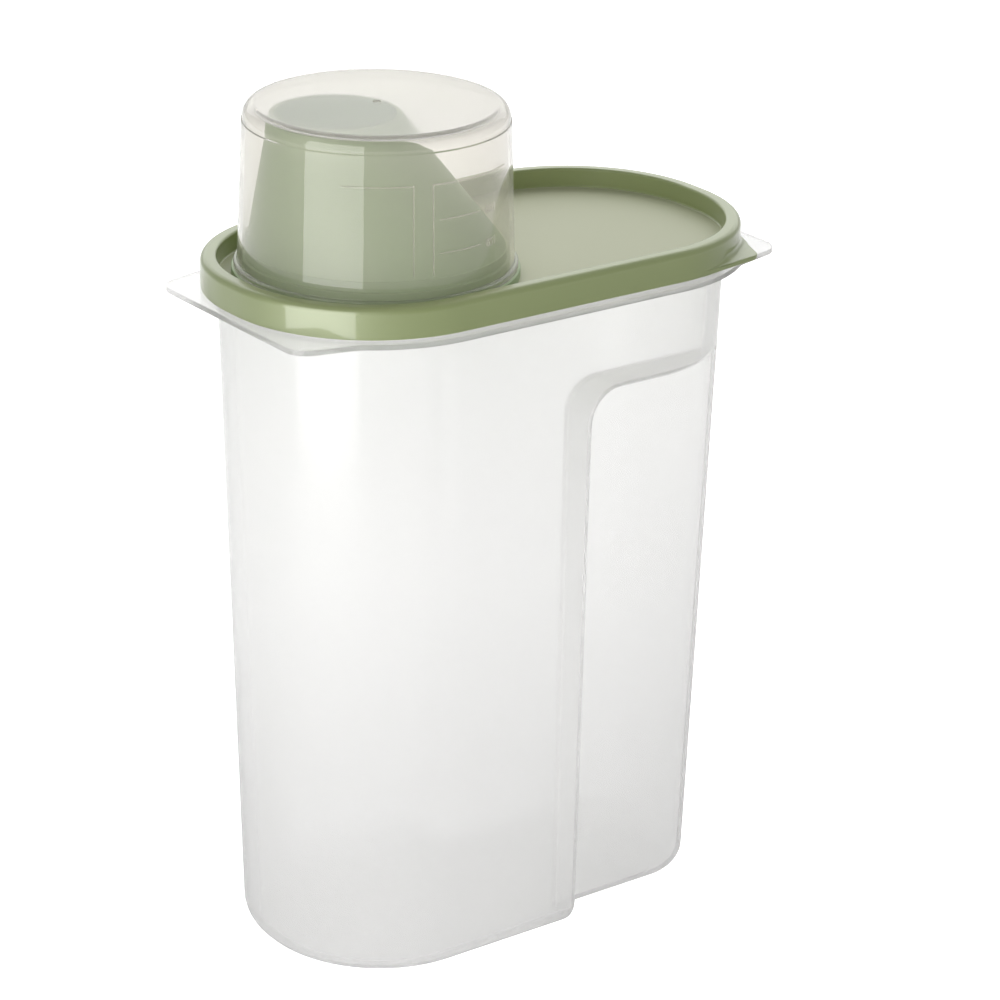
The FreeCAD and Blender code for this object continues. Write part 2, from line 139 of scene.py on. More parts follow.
def blend(nodes, links, factor, first, second):
    """A colour from first to second by a 0 to 1 factor."""
    mix = nodes.new("ShaderNodeMix")
    mix.data_type = "RGBA"
    mix.inputs["A"].default_value = first
    mix.inputs["B"].default_value = second
    links.new(factor, mix.inputs["Factor"])
    return mix.outputs["Result"]


def milky_plastic():
    """Cloudy plastic that passes soft light but hides what lies behind it."""
    material, nodes, links, shader, output = new_material("milky_plastic")
    shader.inputs["IOR"].default_value = milk_ior
    cloud = fine_noise(nodes, links, milk_cloud_size, 4.0)
    colour = blend(nodes, links, cloud.outputs["Fac"], milk_colour, milk_cloud_colour)
    links.new(colour, shader.inputs["Base Color"])
    flow = fine_noise(nodes, links, milk_flow_size, 1.0)
    smooth = milk_gloss_roughness * (1 - milk_unevenness)
    rough = milk_gloss_roughness * (1 + milk_unevenness)
    links.new(between(nodes, links, flow.outputs["Fac"], smooth, rough), shader.inputs["Roughness"])
    grain(nodes, links, shader, milk_grain_size, milk_grain_height)
    through = nodes.new("ShaderNodeBsdfTranslucent")
    through.inputs["Color"].default_value = milk_through_colour
    cloudy = nodes.new("ShaderNodeMixShader")
    cloudy.inputs["Fac"].default_value = milk_through_share
    links.new(shader.outputs["BSDF"], cloudy.inputs[1])
    links.new(through.outputs["BSDF"], cloudy.inputs[2])
    clear = nodes.new("ShaderNodeBsdfPrincipled")
    clear.inputs["Base Color"].default_value = milk_clear_colour
    clear.inputs["Transmission Weight"].default_value = 1.0
    clear.inputs["IOR"].default_value = milk_clear_ior
    clear.inputs["Roughness"].default_value = milk_clear_roughness
    clear.inputs["Coat Weight"].default_value = milk_coat
    clear.inputs["Coat Roughness"].default_value = milk_gloss_roughness
    milky = nodes.new("ShaderNodeMixShader")
    milky.inputs["Fac"].default_value = milk_clear_share
    links.new(cloudy.outputs["Shader"], milky.inputs[1])
    links.new(clear.outputs["BSDF"], milky.inputs[2])
    pass_light(nodes, links, milky, milk_pass_share, output)
    return material


def dress(node, material):
    """Gives a CAD node its material."""
    for part_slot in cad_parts[node].material_slots:
        part_slot.material = material


dress("container_body", milky_plastic())

# Lid
# One injection moulding of glossy sage polypropylene: a skirt that snaps over the rim, a sunk panel,
# a lifting lobe at the corner beside the grip, and the slanted pouring spout that stands on a seat
# and a two-step collar. Every edge has the small radius of a polished mould.
lid_length = 171.4 * mm
lid_width = 98.0 * mm
lid_end_flat = 5.8 * mm
skirt_height = 9.25 * mm
skirt_wall = 1.5 * mm
channel_width = 2.0 * mm
plug_wall = 1.3 * mm
lid_plate = 1.6 * mm
panel_depth = 6.0 * mm
ledge_gap = 0.7 * mm
rim_edge_radius = 2.0 * mm
rim_inner_radius = 0.8 * mm
panel_corner_radius = 0.6 * mm
small_radius = 0.3 * mm
spout_axis = -35.65 * mm
seat_radius = 42.0 * mm
seat_height = 2.9 * mm
collar_radius = 38.77 * mm
collar_height = 3.75 * mm
collar_step = 0.8 * mm
collar_step_height = 3.0 * mm
cone_step = 0.3 * mm
cone_height = 39.7 * mm
cone_lean = 14.25 * mm
mouth_radius = 18.9 * mm
spout_wall = 1.6 * mm
corner_steps = 40
ring_steps = 192
panel_margin = 2.0 * mm
seat_margin = 1.5 * mm
merge_distance = 0.0005 * mm
sharp_angle = math.radians(35)
lid_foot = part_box("lid")[0].z + ledge_gap
rim_band = skirt_wall + channel_width + plug_wall
panel_level = skirt_height - panel_depth
end_radius = (lid_width - lid_end_flat) / 2
end_side = lid_length / 2 - end_radius
end_flat = lid_end_flat / 2
sage_colour = (0.27, 0.325, 0.135, 1.0)
sage_pale_colour = (0.29, 0.34, 0.15, 1.0)
# Painted sheen: the sunk panel gets a paler copy of the sage, standing in for the bright reflection on
# its satin face.
panel_painted_sheen_colour = (0.465, 0.49, 0.335, 1.0)
# Painted light: the spout gets a lighter, bluer copy of the sage, making up for light the lamps leave off
# it under the cup.
spout_painted_light_colour = (0.325, 0.435, 0.24, 1.0)
sage_roughness = 0.42
sage_gloss = 0.7
sage_gloss_roughness = 0.07
spout_gloss = 0.25
satin_roughness = 0.5
sage_ior = 1.5
sage_unevenness = 0.15
sage_flow_size = 25.0
sage_grain_size = 300.0
sage_grain_height = 0.002 * mm


def rounded(corners, steps=6):
    """A polyline of (across, height, radius) corners, each rounded by an arc of its radius."""
    points = []
    count = len(corners)
    for number, (across, height, radius) in enumerate(corners):
        corner = Vector((across, height))
        before = Vector(corners[(number - 1) % count][:2]) - corner
        after = Vector(corners[(number + 1) % count][:2]) - corner
        if radius <= 0 or before.length == 0 or after.length == 0:
            points.append((corner.x, corner.y))
            continue
        half_turn = before.angle(after) / 2
        run = radius / math.tan(half_turn)
        start = corner + before.normalized() * run
        finish = corner + after.normalized() * run
        middle = (before.normalized() + after.normalized()).normalized()
        centre = corner + middle * (radius / math.sin(half_turn))
        first, last = start - centre, finish - centre
        sweep = first.angle_signed(last)
        for step in range(steps + 1):
            arm = Matrix.Rotation(-sweep * step / steps, 2) @ first
            points.append((centre.x + arm.x, centre.y + arm.y))
    return points


def outline_ring(inset, level):
    """The lid's round-ended outline, drawn in by inset, at a height."""
    ring = []
    for quarter, (x_sign, y_sign) in enumerate(((1, 1), (-1, 1), (-1, -1), (1, -1))):
        for step in range(corner_steps + 1):
            angle = (quarter + step / corner_steps) * math.pi / 2
            x = x_sign * end_side + (end_radius - inset) * math.cos(angle)
            y = y_sign * end_flat + (end_radius - inset) * math.sin(angle)
            ring.append((x, y, level))
    return ring


def round_ring(centre_x, radius, level):
    """A horizontal circle about a point on the X axis."""
    ring = []
    for step in range(ring_steps):
        angle = 2 * math.pi * step / ring_steps
        ring.append((centre_x + radius * math.cos(angle), radius * math.sin(angle), level))
    return ring


def add_rings(form, rings):
    """Joins rings of equal count with quads. Returns the first and the last ring's vertices."""
    rows = [[form.verts.new(point) for point in ring] for ring in rings]
    for lower, upper in zip(rows, rows[1:]):
        for number in range(len(lower)):
            following = (number + 1) % len(lower)
            form.faces.new((lower[number], lower[following], upper[following], upper[number]))
    return rows[0], rows[-1]


def ring_edges(form, ring):
    """The edges round one ring of vertices."""
    edges = []
    for first, second in zip(ring, ring[1:] + ring[:1]):
        found = form.edges.get((first, second))
        edges.append(found or form.edges.new((first, second)))
    return edges


def fill_flat(form, *rings):
    """A flat face bounded by the given rings."""
    edges = [edge for ring in rings for edge in ring_edges(form, ring)]
    bmesh.ops.triangle_fill(form, use_beauty=True, edges=edges)


def finish_piece(form, name, material, body):
    """Makes the closed form an object of its body, smooth but flat on its flats."""
    bmesh.ops.recalc_face_normals(form, faces=form.faces)
    mesh = bpy.data.meshes.new(name)
    form.to_mesh(mesh)
    form.free()
    mesh.shade_smooth()
    mesh.set_sharp_from_angle(angle=sharp_angle)
    piece = bpy.data.objects.new(name, mesh)
    scene.collection.objects.link(piece)
    piece.data.materials.append(material)
    weigh = piece.modifiers.new("flat_faces_first", "WEIGHTED_NORMAL")
    weigh.keep_sharp = True
    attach(piece, body)
    return piece


def inside_rim(nodes, links):
    """Two masks: 1 on the sunk panel and all that stands on it, and 1 on what stands on it."""
    axes = object_axes(nodes, links)
    squares = []
    for axis, straight in (("X", end_side), ("Y", end_flat)):
        away = calculate(nodes, links, "ABSOLUTE", axes[axis])
        past = calculate(nodes, links, "SUBTRACT", away, straight)
        outward = calculate(nodes, links, "MAXIMUM", past, 0.0)
        squares.append(calculate(nodes, links, "POWER", outward, 2.0))
    total = calculate(nodes, links, "ADD", *squares)
    inside = calculate(nodes, links, "LESS_THAN", total, (end_radius - rim_band - small_radius) ** 2)
    raised = calculate(nodes, links, "GREATER_THAN", axes["Z"], lid_foot + panel_level + small_radius)
    return inside, calculate(nodes, links, "MULTIPLY", inside, raised)


def sage_plastic():
    """Sage plastic, glossy on the rim, satin and paler on the sunk panel, half-glossy on the spout. The
    panel's paler colour is a painted sheen, and the spout's lighter, bluer colour is painted light.
    """
    material, nodes, links, shader, output = new_material("sage_plastic")
    shader.inputs["IOR"].default_value = sage_ior
    flow = fine_noise(nodes, links, sage_flow_size, 2.0)
    satin, spout = inside_rim(nodes, links)
    panel = calculate(nodes, links, "SUBTRACT", satin, spout)
    colour = blend(nodes, links, flow.outputs["Fac"], sage_colour, sage_pale_colour)
    # Painted sheen: the sunk panel gets the paler colour.
    colour_with_painted_sheen = blend(nodes, links, panel, sage_colour, panel_painted_sheen_colour)
    links.new(colour, colour_with_painted_sheen.node.inputs["A"])
    # Painted light: the spout and what stands on the panel get the lighter, bluer colour.
    whole = blend(nodes, links, spout, sage_colour, spout_painted_light_colour)
    links.new(colour_with_painted_sheen, whole.node.inputs["A"])
    links.new(whole, shader.inputs["Base Color"])
    rim_gloss = between(nodes, links, satin, sage_gloss, 0.0)
    cone_gloss = calculate(nodes, links, "MULTIPLY", spout, spout_gloss)
    links.new(calculate(nodes, links, "ADD", rim_gloss, cone_gloss), shader.inputs["Coat Weight"])
    shader.inputs["Coat Roughness"].default_value = sage_gloss_roughness
    roughness = between(nodes, links, satin, sage_roughness, satin_roughness)
    uneven = between(nodes, links, flow.outputs["Fac"], 1 - sage_unevenness, 1 + sage_unevenness)
    links.new(calculate(nodes, links, "MULTIPLY", roughness, uneven), shader.inputs["Roughness"])
    grain(nodes, links, shader, sage_grain_size, sage_grain_height)
    return material


def lid_rim_rings():
    """The rim from the skirt's foot over the top and down to the sunk panel."""
    section = rounded([
        (rim_band, panel_level, 0),
        (skirt_wall, 0, 0),
        (0, 0, small_radius),
        (0, skirt_height, rim_edge_radius),
        (rim_band, skirt_height, rim_inner_radius),
        (rim_band, panel_level, panel_corner_radius),
        (rim_band + panel_margin, panel_level, 0),
    ])
    return [outline_ring(inset, lid_foot + height) for inset, height in section[1:]]


def lid_under_rings():
    """The rim's underside from the panel down the plug wall, up the channel and to the skirt's foot."""
    ceiling = skirt_height - lid_plate
    section = [
        (rim_band, panel_level - lid_plate),
        (rim_band, -ledge_gap),
        (skirt_wall + channel_width, -ledge_gap),
        (skirt_wall + channel_width, ceiling),
        (skirt_wall, ceiling),
        (skirt_wall, 0),
    ]
    return [outline_ring(inset, lid_foot + height) for inset, height in section]


def spout_rings():
    """Seat, collar in two steps, slanted cone, its lip, and the bore back down to the underside."""
    seat = panel_level + seat_height
    collar = seat + collar_height
    step = collar + collar_step_height
    lip = step + cone_height
    step_radius = collar_radius - collar_step
    foot_radius = step_radius - cone_step
    hollow_radius = seat_radius - lid_plate
    section = rounded([
        (seat_radius + seat_margin, panel_level, 0),
        (seat_radius, panel_level, small_radius),
        (seat_radius, seat, small_radius),
        (collar_radius, seat, small_radius),
        (collar_radius, collar, small_radius),
        (step_radius, collar, small_radius),
        (step_radius, step, small_radius / 2),
        (foot_radius, step, small_radius / 2),
        (mouth_radius, lip, 2 * small_radius),
        (mouth_radius - spout_wall, lip, small_radius),
        (foot_radius - spout_wall, step, small_radius),
        (foot_radius - spout_wall, seat - lid_plate, small_radius),
        (hollow_radius, seat - lid_plate, small_radius),
        (hollow_radius, panel_level - lid_plate, 0),
    ])
    rings = []
    for radius, height in section:
        lean = cone_lean * max(0.0, height - step) / cone_height
        rings.append(round_ring(spout_axis - lean, radius, lid_foot + height))
    return rings


def make_lid():
    """The whole lid as one closed shell."""
    form = bmesh.new()
    skirt_foot, panel_edge = add_rings(form, lid_rim_rings())
    seat_edge, hollow_edge = add_rings(form, spout_rings())
    under_edge, channel_foot = add_rings(form, lid_under_rings())
    fill_flat(form, panel_edge, seat_edge)
    fill_flat(form, hollow_edge, under_edge)
    for number in range(len(skirt_foot)):
        following = (number + 1) % len(skirt_foot)
        foot = (skirt_foot[number], skirt_foot[following])
        form.faces.new(foot + (channel_foot[following], channel_foot[number]))
    bmesh.ops.remove_doubles(form, verts=form.verts, dist=merge_distance)
    return form


sage = sage_plastic()
lid_piece = finish_piece(make_lid(), "lid_shell", sage, "lid")
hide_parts("lid")

# Lifting lobe
# A thin pointed tongue at the foot of the skirt, part of the same moulding as the lid. It blends into
# the skirt with a hollow radius, and its edge is rounded for the thumb.
lobe_angle = math.radians(-51.5)
lobe_half_angle = math.radians(28.0)
lobe_reach = 6.9 * mm
lobe_tip_radius = 5.0 * mm
lobe_thickness = 1.5 * mm
lobe_blend_radius = 2.2 * mm
lobe_edge_radius = 0.6 * mm
lobe_steps = 64
lobe_arc_steps = 6
lobe_least_reach = 0.05 * mm
lobe_spread = 0.999


def lobe_edge_distance(angle):
    """How far the lobe's edge lies from the corner's centre, angle away from its middle."""
    foot = Vector((math.cos(lobe_half_angle), math.sin(lobe_half_angle))) * end_radius
    tip = Vector((end_radius + lobe_reach, 0))
    side = (foot - tip).normalized()
    half_tip = math.atan2(side.y, -side.x)
    ray = Vector((math.cos(angle), abs(math.sin(angle))))
    normal = Vector((side.y, -side.x))
    straight = tip.dot(normal) / ray.dot(normal)
    centre = tip.x - lobe_tip_radius / math.sin(half_tip)
    touch = Vector((math.sin(half_tip), math.cos(half_tip))) * lobe_tip_radius
    if abs(angle) > math.atan2(touch.y, centre + touch.x):
        return straight
    along = centre * ray.x
    return along + math.sqrt(along * along - centre * centre + lobe_tip_radius * lobe_tip_radius)


def lobe_section(edge):
    """The lobe's section from inside the skirt, over the top, round the edge and back underneath."""
    reach = max(edge - end_radius, lobe_least_reach)
    root = end_radius - skirt_wall / 2
    hollow = min(lobe_blend_radius, reach)
    top = []
    for step in range(lobe_arc_steps + 1):
        turn = math.pi / 2 * step / lobe_arc_steps
        across = end_radius + hollow * (1 - math.cos(turn))
        top.append((across, lobe_thickness + hollow * (1 - math.sin(turn))))
    rounding = min(lobe_edge_radius, reach / 2)
    middle = lobe_thickness / 2
    outer = []
    for step in range(lobe_arc_steps + 1):
        turn = math.pi / 2 * (1 - 2 * step / lobe_arc_steps)
        across = edge - rounding + rounding * math.cos(turn)
        side = 1 if 2 * step <= lobe_arc_steps else -1
        outer.append((across, middle + side * (middle - rounding) + rounding * math.sin(turn)))
    return [(root, lobe_thickness + hollow)] + top + outer + [(root, 0)]


def make_lobe():
    """Sections of the lobe placed side by side around the lid's corner."""
    centre = Vector((end_side, -end_flat))
    form = bmesh.new()
    rows = []
    for step in range(lobe_steps + 1):
        angle = lobe_half_angle * (2 * step / lobe_steps - 1) * lobe_spread
        ray = Vector((math.cos(lobe_angle + angle), math.sin(lobe_angle + angle)))
        section = lobe_section(lobe_edge_distance(angle))
        places = [(centre + ray * across, height) for across, height in section]
        rows.append([form.verts.new((place.x, place.y, lid_foot + height)) for place, height in places])
    for row, following in zip(rows, rows[1:]):
        count = len(row)
        for number in range(count):
            after = (number + 1) % count
            form.faces.new((row[number], row[after], following[after], following[number]))
    form.faces.new(rows[0])
    form.faces.new(rows[-1])
    return form


finish_piece(make_lobe(), "lid_lobe", sage, "lid")

# Measuring cup
# A clear injection-moulded cup that stands upside down over the spout. The wall is polished, the base
# is lightly frosted with a gate mark in its middle, and a small bead stiffens the mouth.
cup_height = 48.6 * mm
cup_mouth_radius = 40.4 * mm
cup_base_radius = 38.7 * mm
cup_wall = 1.2 * mm
cup_base_thickness = 1.5 * mm
cup_corner_radius = 4.0 * mm
cup_bead_width = 1.0 * mm
cup_bead_height = 2.0 * mm
cup_rest_gap = 0.05 * mm
cup_gate_radius = 1.2 * mm
cup_gate_depth = 0.7 * mm
cup_seam_step = 0.3 * mm
cup_seam_drop = 4.6 * mm
cup_corner_steps = 8
cup_pole_radius = 0.02 * mm
cup_taper = (cup_mouth_radius - cup_base_radius) / cup_height
cup_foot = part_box("measuring_cup")[0].z
cup_colour = (0.945, 0.925, 0.9, 1.0)
cup_haze_colour = (0.88, 0.87, 0.83, 1.0)
cup_roughness = 0.0
cup_frost_roughness = 0.14
cup_ior = 1.4
cup_grain_size = 120.0
cup_grain_height = 0.002 * mm
frost_start_drop = 0.2 * mm
frost_full_drop = 0.05 * mm
wall_haze_share = 0.16
base_haze_share = 0.22


def clear_plastic():
    """Clear plastic that lets light through to what it covers, frosted over the cup's base."""
    material, nodes, links, shader, output = new_material("clear_plastic")
    shader.inputs["Base Color"].default_value = cup_colour
    shader.inputs["Transmission Weight"].default_value = 1.0
    shader.inputs["IOR"].default_value = cup_ior
    frost = nodes.new("ShaderNodeMapRange")
    frost.inputs["From Min"].default_value = cup_foot + cup_height - frost_start_drop
    frost.inputs["From Max"].default_value = cup_foot + cup_height - frost_full_drop
    links.new(object_axes(nodes, links)["Z"], frost.inputs["Value"])
    roughness = between(nodes, links, frost.outputs["Result"], cup_roughness, cup_frost_roughness)
    links.new(roughness, shader.inputs["Roughness"])
    grain(nodes, links, shader, cup_grain_size, cup_grain_height)
    scatter = nodes.new("ShaderNodeBsdfTranslucent")
    scatter.inputs["Color"].default_value = cup_haze_colour
    bloom = nodes.new("ShaderNodeBsdfDiffuse")
    bloom.inputs["Color"].default_value = cup_haze_colour
    haze = nodes.new("ShaderNodeMixShader")
    links.new(bloom.outputs["BSDF"], haze.inputs[1])
    links.new(scatter.outputs["BSDF"], haze.inputs[2])
    hazy = nodes.new("ShaderNodeMixShader")
    haze_share = between(nodes, links, frost.outputs["Result"], wall_haze_share, base_haze_share)
    links.new(haze_share, hazy.inputs["Fac"])
    links.new(shader.outputs["BSDF"], hazy.inputs[1])
    links.new(haze.outputs["Shader"], hazy.inputs[2])
    see_through = nodes.new("ShaderNodeBsdfTransparent")
    see_through.inputs["Color"].default_value = cup_colour
    path = nodes.new("ShaderNodeLightPath").outputs
    lit = calculate(nodes, links, "MAXIMUM", path["Is Shadow Ray"], path["Is Diffuse Ray"])
    mix = nodes.new("ShaderNodeMixShader")
    links.new(lit, mix.inputs["Fac"])
    links.new(hazy.outputs["Shader"], mix.inputs[1])
    links.new(see_through.outputs["BSDF"], mix.inputs[2])
    links.new(mix.outputs["Shader"], output.inputs["Surface"])
    return material


def make_cup():
    """The cup turned about the spout's axis as one closed shell."""
    bead = cup_mouth_radius + cup_bead_width
    ceiling = cup_height - cup_base_thickness
    seam = cup_base_radius + cup_taper * cup_seam_drop
    section = rounded([
        (cup_pole_radius, ceiling, 0),
        (cup_base_radius - cup_wall, ceiling, cup_corner_radius - cup_wall),
        (cup_mouth_radius - cup_wall, cup_rest_gap, small_radius),
        (bead, cup_rest_gap, small_radius),
        (bead, cup_bead_height, 2 * small_radius),
        (cup_mouth_radius - cup_taper * cup_bead_height, cup_bead_height, small_radius),
        (seam, cup_height - cup_seam_drop - cup_seam_step, cup_seam_step / 2),
        (seam - cup_seam_step, cup_height - cup_seam_drop, cup_seam_step / 2),
        (cup_base_radius - cup_seam_step, cup_height, cup_corner_radius),
        (cup_gate_radius, cup_height, 0),
        (cup_gate_radius, cup_height - cup_gate_depth, 0),
        (cup_pole_radius, cup_height - cup_gate_depth, 0),
    ], steps=cup_corner_steps)
    form = bmesh.new()
    rings = [round_ring(spout_axis, radius, cup_foot + height) for radius, height in section]
    inner, outer = add_rings(form, rings)
    fill_flat(form, inner)
    fill_flat(form, outer)
    return form


clear = clear_plastic()
cup_piece = finish_piece(make_cup(), "cup_shell", clear, "cup")
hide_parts("measuring_cup")

# Cup scale
# Fine lines and plain numbers that stand up from the cup's wall, moulded with it. They read the right
# way up with the cup held mouth up, so here they stand on their heads.
line_width = 0.35 * mm
line_height = 0.25 * mm
line_root = 0.02 * mm
frame_top = 34.9 * mm
frame_foot = 8.6 * mm
frame_starts = (-101.0, -109.0)
frame_sweeps = (43.0, -30.0)
frame_steps = 32
frame_joint = 1.02
tick_level = 14.6 * mm
tick_pitch = 9.8 * mm
tick_start = -97.8
tick_sweep = 20.5
tick_width = 0.3 * mm
tick_steps = 20
number_angle = -70.0
number_size = 3.4 * mm
number_smoothness = 4
numbers = ("150", "100")


def wall_place(angle, height, lift):
    """A point on the cup's wall, or lift outside it."""
    radius = cup_mouth_radius - cup_taper * height + lift
    return spout_axis + radius * math.cos(angle), radius * math.sin(angle), cup_foot + height


def wall_strip(form, start, sweep, foot, top, steps):
    """A raised strip that follows the cup's wall."""
    rows = []
    for step in range(steps + 1):
        angle = start + sweep * step / steps
        corners = ((foot, -line_root), (foot, line_height), (top, line_height), (top, -line_root))
        rows.append([form.verts.new(wall_place(angle, height, lift)) for height, lift in corners])
    for row, following in zip(rows, rows[1:]):
        for number in range(4):
            after = (number + 1) % 4
            form.faces.new((row[number], row[after], following[after], following[number]))
    form.faces.new(rows[0])
    form.faces.new(rows[-1])


def make_frames():
    """The two frames: each an upright line and a line round the wall from its top."""
    form = bmesh.new()
    turn = line_width / cup_mouth_radius
    for start, sweep in zip(frame_starts, frame_sweeps):
        side = math.copysign(turn, sweep)
        edge = math.radians(start)
        wall_strip(form, edge, side, frame_foot, frame_top, 1)
        edge += side * frame_joint
        wall_strip(form, edge, math.radians(sweep), frame_top - line_width, frame_top, frame_steps)
    return form


def make_numbers():
    """The scale's plain numbers, bent round the wall."""
    form = bmesh.new()
    for place, number in enumerate(numbers):
        font = bpy.data.curves.new("number", "FONT")
        font.body = number
        font.size = number_size
        font.extrude = (line_height + line_root) / 2
        font.resolution_u = number_smoothness
        font.align_x = "CENTER"
        font.align_y = "CENTER"
        holder = bpy.data.objects.new("number", font)
        scene.collection.objects.link(holder)
        view = bpy.context.evaluated_depsgraph_get()
        flat = bpy.data.meshes.new_from_object(holder.evaluated_get(view))
        bpy.data.objects.remove(holder)
        level = tick_level + place * tick_pitch
        for corner in flat.vertices:
            lift = corner.co.z + (line_height - line_root) / 2
            angle = math.radians(number_angle) - corner.co.x / cup_mouth_radius
            corner.co = wall_place(angle, level - corner.co.y, lift)
        form.from_mesh(flat)
        bpy.data.meshes.remove(flat)
    bmesh.ops.remove_doubles(form, verts=form.verts, dist=merge_distance)
    return form


def tick_tree():
    """Short lines round the wall, one above the other, as a Geometry Nodes tree."""
    tree = bpy.data.node_groups.new("scale_ticks", "GeometryNodeTree")
    tree.interface.new_socket("Count", in_out="INPUT", socket_type="NodeSocketInt")
    for name in ("Level", "Pitch", "Radius", "Taper", "Start", "Sweep", "Width"):
        tree.interface.new_socket(name, in_out="INPUT", socket_type="NodeSocketFloat")
    tree.interface.new_socket("Geometry", in_out="OUTPUT", socket_type="NodeSocketGeometry")
    nodes, links = tree.nodes, tree.links
    given = nodes.new("NodeGroupInput")
    foot = nodes.new("ShaderNodeCombineXYZ")
    foot.inputs["X"].default_value = spout_axis
    links.new(given.outputs["Level"], foot.inputs["Z"])
    rise = nodes.new("ShaderNodeCombineXYZ")
    links.new(given.outputs["Pitch"], rise.inputs["Z"])
    places = nodes.new("GeometryNodeMeshLine")
    links.new(given.outputs["Count"], places.inputs["Count"])
    links.new(foot.outputs["Vector"], places.inputs["Start Location"])
    links.new(rise.outputs["Vector"], places.inputs["Offset"])
    arc = nodes.new("GeometryNodeCurveArc")
    arc.inputs["Resolution"].default_value = tick_steps
    links.new(given.outputs["Radius"], arc.inputs["Radius"])
    links.new(given.outputs["Start"], arc.inputs["Start Angle"])
    links.new(given.outputs["Sweep"], arc.inputs["Sweep Angle"])
    section = nodes.new("GeometryNodeCurvePrimitiveQuadrilateral")
    links.new(given.outputs["Width"], section.inputs["Width"])
    links.new(given.outputs["Width"], section.inputs["Height"])
    bar = nodes.new("GeometryNodeCurveToMesh")
    bar.inputs["Fill Caps"].default_value = True
    links.new(arc.outputs["Curve"], bar.inputs["Curve"])
    links.new(section.outputs["Curve"], bar.inputs["Profile Curve"])
    index = nodes.new("GeometryNodeInputIndex").outputs["Index"]
    narrower = calculate(nodes, links, "MULTIPLY", index, given.outputs["Taper"])
    share = calculate(nodes, links, "SUBTRACT", 1.0, narrower)
    scale = nodes.new("ShaderNodeCombineXYZ")
    scale.inputs["Z"].default_value = 1.0
    links.new(share, scale.inputs["X"])
    links.new(share, scale.inputs["Y"])
    rows = nodes.new("GeometryNodeInstanceOnPoints")
    links.new(places.outputs["Mesh"], rows.inputs["Points"])
    links.new(bar.outputs["Mesh"], rows.inputs["Instance"])
    links.new(scale.outputs["Vector"], rows.inputs["Scale"])
    real = nodes.new("GeometryNodeRealizeInstances")
    links.new(rows.outputs["Instances"], real.inputs["Geometry"])
    dressed = nodes.new("GeometryNodeSetMaterial")
    dressed.inputs["Material"].default_value = clear
    links.new(real.outputs["Geometry"], dressed.inputs["Geometry"])
    result = nodes.new("NodeGroupOutput")
    links.new(dressed.outputs["Geometry"], result.inputs["Geometry"])
    return tree


def make_ticks():
    """The ticks as a plain mesh."""
    tree = tick_tree()
    holder = bpy.data.objects.new("ticks", bpy.data.meshes.new("ticks"))
    scene.collection.objects.link(holder)
    modifier = holder.modifiers.new("scale_ticks", "NODES")
    modifier.node_group = tree
    radius = cup_mouth_radius - cup_taper * tick_level
    given = {
        "Count": len(numbers), "Level": cup_foot + tick_level, "Pitch": tick_pitch, "Radius": radius,
        "Taper": cup_taper * tick_pitch / radius, "Start": math.radians(tick_start),
        "Sweep": math.radians(tick_sweep), "Width": tick_width,
    }
    for item in tree.interface.items_tree:
        if item.in_out == "INPUT":
            modifier[item.identifier] = given[item.name]
    view = bpy.context.evaluated_depsgraph_get()
    plain = bpy.data.meshes.new_from_object(holder.evaluated_get(view))
    bpy.data.objects.remove(holder)
    form = bmesh.new()
    form.from_mesh(plain)
    bmesh.ops.remove_doubles(form, verts=form.verts, dist=merge_distance)
    return form


finish_piece(make_frames(), "cup_scale_frames", clear, "cup")
finish_piece(make_ticks(), "cup_scale_ticks", clear, "cup")
finish_piece(make_numbers(), "cup_scale_numbers", clear, "cup")

# Floor and light
# A plain white floor, lit by a wide softbox high at the back and a soft fill from the left. A weaker
# copy of the back light and a narrow softbox at the left show only as reflections in the plastic.
floor_size = 12.0
floor_drop = 0.2 * mm
floor_roughness = 0.9
floor_colour = (0.5, 0.5, 0.5, 1.0)
# Painted shade: the floor's glow fades out near this point, and it is halved under the object as a
# painted shadow.
floor_dark_centre = (0.35, -0.3, 0.0)
floor_dark_reach = 0.2
floor_light_reach = 0.75
floor_glow_near = 0.0
floor_glow_far = 0.7
floor_shade_near = 0.09
floor_shade_far = 0.25
floor_shade_share = 0.5
bright_direction = (0.5, 0.8, -0.33)
bright_strength = 0.8
dim_strength = 0.1
light_aim = (0.0, 0.0, 0.2)
back_place = (0.65, 0.87, 0.85)
back_width, back_height = 1.8, 0.9
back_brightness = 2.6
sheen_place = (0.64, 0.86, 0.84)
sheen_brightness = 0.8
key_place = (-0.32, -0.38, 0.4)
key_side = 0.35
key_brightness = 3.0
strip_place = (-0.41, -0.143, 0.25)
strip_aim = (-0.036, 0.0, 0.25)
strip_width, strip_height = 0.37, 0.5
strip_brightness = 5.5


